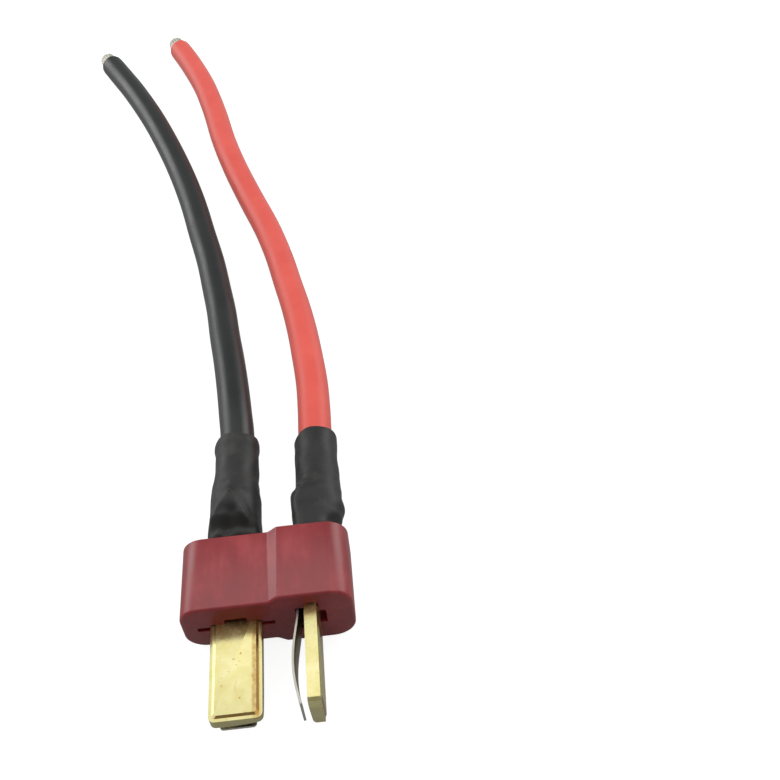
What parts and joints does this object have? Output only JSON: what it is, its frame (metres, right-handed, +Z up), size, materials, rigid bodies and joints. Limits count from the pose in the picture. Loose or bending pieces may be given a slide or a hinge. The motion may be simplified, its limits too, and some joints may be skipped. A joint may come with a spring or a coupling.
{
  "type": "battery connector plug",
  "caption": "T-shaped male battery plug with one flat and one upright sprung blade, and soldered leads under shrink sleeves.",
  "frame": {"origin": "centre of the mating face, at mid height of the housing", "axes": "-Y points out of the mating face along the blades, +Y runs back towards the leads, +Z is up and +X runs from the flat blade to the upright one"},
  "size_m": [0.0367, 0.1299, 0.008],
  "materials": {
    "red_nylon": "moulded, slight sheen",
    "gilt_brass": "gold plated, satin",
    "spring_steel": "bright rolled strip",
    "solder": "smooth solder",
    "copper_strand": "twisted strands",
    "shrink_sleeve": "matt",
    "black_silicone": "soft sheen",
    "red_silicone": "soft sheen",
    "tinned_strand": "tinned strands"
  },
  "bodies": {
    "plug": {"housing": "red_nylon", "flat_blade": "gilt_brass", "upright_blade": "gilt_brass", "black_solder": "solder", "red_solder": "solder", "black_core": "copper_strand", "red_core": "copper_strand", "black_sleeve": "shrink_sleeve", "red_sleeve": "shrink_sleeve", "black_wire": "black_silicone", "red_wire": "red_silicone", "black_bare_end": "tinned_strand", "red_bare_end": "tinned_strand"},
    "flat_spring": {"flat_spring": "spring_steel"},
    "upright_spring": {"upright_spring": "spring_steel"}
  },
  "joints": [
    {"name": "flat_spring_flex", "type": "hinge", "parent": "plug", "child": "flat_spring", "pos_m": [-0.003, 0, -0.00141], "axis": [-1, 0, 0], "range_deg": [0, 2.4], "stiffness_Nm_per_rad": 0.18},
    {"name": "upright_spring_flex", "type": "hinge", "parent": "plug", "child": "upright_spring", "pos_m": [0.00294, 0, 0], "axis": [0, 0, 1], "range_deg": [0, 2.4], "stiffness_Nm_per_rad": 0.18}
  ]
}
